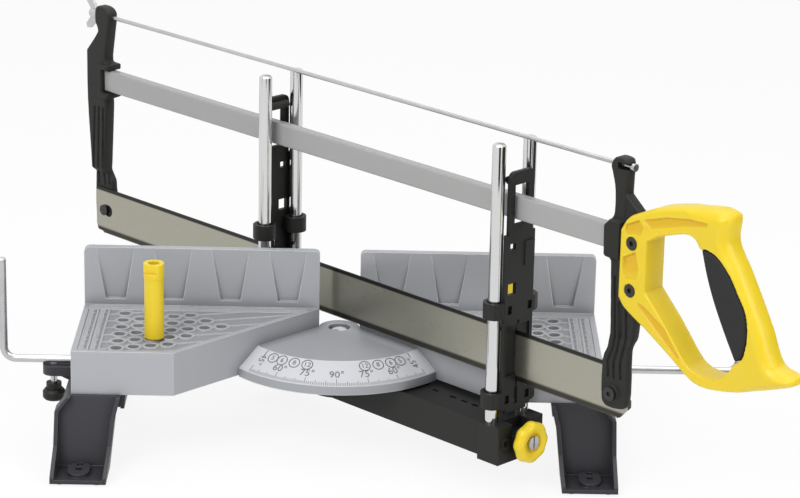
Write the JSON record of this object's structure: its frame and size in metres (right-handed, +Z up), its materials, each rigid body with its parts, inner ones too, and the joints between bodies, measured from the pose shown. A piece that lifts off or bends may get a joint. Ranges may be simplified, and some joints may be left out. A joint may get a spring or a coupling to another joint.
{
  "type": "manual mitre saw",
  "caption": "Hand mitre saw with fenced tables, an angle dial and a swinging arm whose guides carry a framed hand saw with a D handle.",
  "frame": {"origin": "centre of the four bench screw holes, on the bench plane under the feet", "axes": "+X along the fence to the right, +Y back from the user, +Z up"},
  "size_m": [0.5696, 0.5287, 0.2813],
  "materials": {
    "cast_grey": "satin die casting",
    "steel": "bright",
    "chrome": "polished",
    "dark_steel": "dark",
    "blade_steel": "satin",
    "spine_paint": "satin paint",
    "black_plastic": "satin",
    "black_rubber": "textured",
    "yellow_plastic": "semi gloss"
  },
  "bodies": {
    "base": {"left_table": "cast_grey", "right_table": "cast_grey", "sector_plate": "cast_grey", "bed_screws": "steel", "left_leg": "black_plastic", "right_leg": "black_plastic", "leg_screws": "steel", "pivot_bolt": "steel", "pivot_washer": "steel", "pivot_nut": "steel"},
    "left_stop": {"left_stop_rod": "steel"},
    "right_stop": {"right_stop_rod": "steel"},
    "left_knob": {"left_stop_knob": "black_plastic", "left_stop_screw": "steel"},
    "right_knob": {"right_stop_knob": "black_plastic", "right_stop_screw": "steel"},
    "left_cam": {"left_post": "yellow_plastic"},
    "right_cam": {"right_post": "yellow_plastic"},
    "arm": {"arm_beam": "black_plastic", "front_bracket": "black_plastic", "rear_bracket": "black_plastic", "front_rod_near": "chrome", "front_rod_far": "chrome", "rear_rod_near": "chrome", "rear_rod_far": "chrome", "bracket_screws": "steel", "rod_screws": "dark_steel"},
    "lock": {"lock_knob": "yellow_plastic", "lock_screw": "steel"},
    "wedge": {"lock_wedge": "black_plastic"},
    "shoe": {"lock_shoe": "black_plastic"},
    "front_slider": {"front_guide": "black_plastic"},
    "rear_slider": {"rear_guide": "black_plastic"},
    "saw": {"blade": "blade_steel", "spine": "spine_paint", "tension_rod": "steel", "toe_post": "black_plastic", "heel_post": "black_plastic", "blade_pin": "dark_steel", "blade_screw": "dark_steel", "handle": "yellow_plastic", "grip_insert": "black_rubber", "handle_screws": "dark_steel", "handle_nuts": "dark_steel"},
    "tensioner": {"wing_nut": "steel"}
  },
  "joints": [
    {"name": "arm_swing", "type": "hinge", "parent": "base", "child": "arm", "pos_m": [0, 0.05, 0.05], "axis": [0, 0, -1], "range_deg": [0, 90]},
    {"name": "guide_lift", "type": "slide", "parent": "arm", "child": "front_slider", "axis": [0, 0, 1], "range_m": [-0.005, 0.1]},
    {"name": "rear_guide_lift", "type": "slide", "parent": "arm", "child": "rear_slider", "axis": [0, 0, 1], "range_m": [-0.005, 0.1]},
    {"name": "saw_stroke", "type": "slide", "parent": "front_slider", "child": "saw", "axis": [0.7071, -0.7071, 0], "range_m": [-0.07, 0.165]},
    {"name": "wing_nut_turn", "type": "hinge", "parent": "saw", "child": "tensioner", "pos_m": [-0.20082, 0.25082, 0.2678], "axis": [0.7071, -0.7071, 0], "continuous": true},
    {"name": "lock_turn", "type": "hinge", "parent": "arm", "child": "lock", "pos_m": [0.14142, -0.09142, 0.0406], "axis": [0.7071, -0.7071, 0], "range_deg": [0, 1440]},
    {"name": "wedge_draw", "type": "slide", "parent": "arm", "child": "wedge", "axis": [0.7071, -0.7071, 0], "range_m": [-0.0066, 0]},
    {"name": "shoe_lift", "type": "slide", "parent": "arm", "child": "shoe", "axis": [0, 0, 1], "range_m": [-0.00165, 0]},
    {"name": "left_stop_slide", "type": "slide", "parent": "base", "child": "left_stop", "axis": [-1, 0, 0], "range_m": [-0.024, 0.056]},
    {"name": "right_stop_slide", "type": "slide", "parent": "base", "child": "right_stop", "axis": [1, 0, 0], "range_m": [-0.0745, 0.0055]},
    {"name": "left_stop_knob_turn", "type": "hinge", "parent": "base", "child": "left_knob", "pos_m": [-0.213, -0.002, 0.04], "axis": [0, 0, 1], "range_deg": [0, 720]},
    {"name": "right_stop_knob_turn", "type": "hinge", "parent": "base", "child": "right_knob", "pos_m": [0.213, -0.002, 0.04], "axis": [0, 0, 1], "range_deg": [0, 720]},
    {"name": "left_cam_turn", "type": "hinge", "parent": "base", "child": "left_cam", "pos_m": [-0.1372, -0.0228, 0.1], "axis": [0, 0, 1], "continuous": true},
    {"name": "right_cam_turn", "type": "hinge", "parent": "base", "child": "right_cam", "pos_m": [0.1248, -0.00425, 0.1], "axis": [0, 0, 1], "continuous": true}
  ],
  "couplings": [
    {"joint": "rear_guide_lift", "follows": "guide_lift", "ratio": 1},
    {"joint": "wedge_draw", "follows": "lock_turn", "m_per_rad": -0.00023873},
    {"joint": "shoe_lift", "follows": "lock_turn", "m_per_rad": -0.000059683}
  ]
}
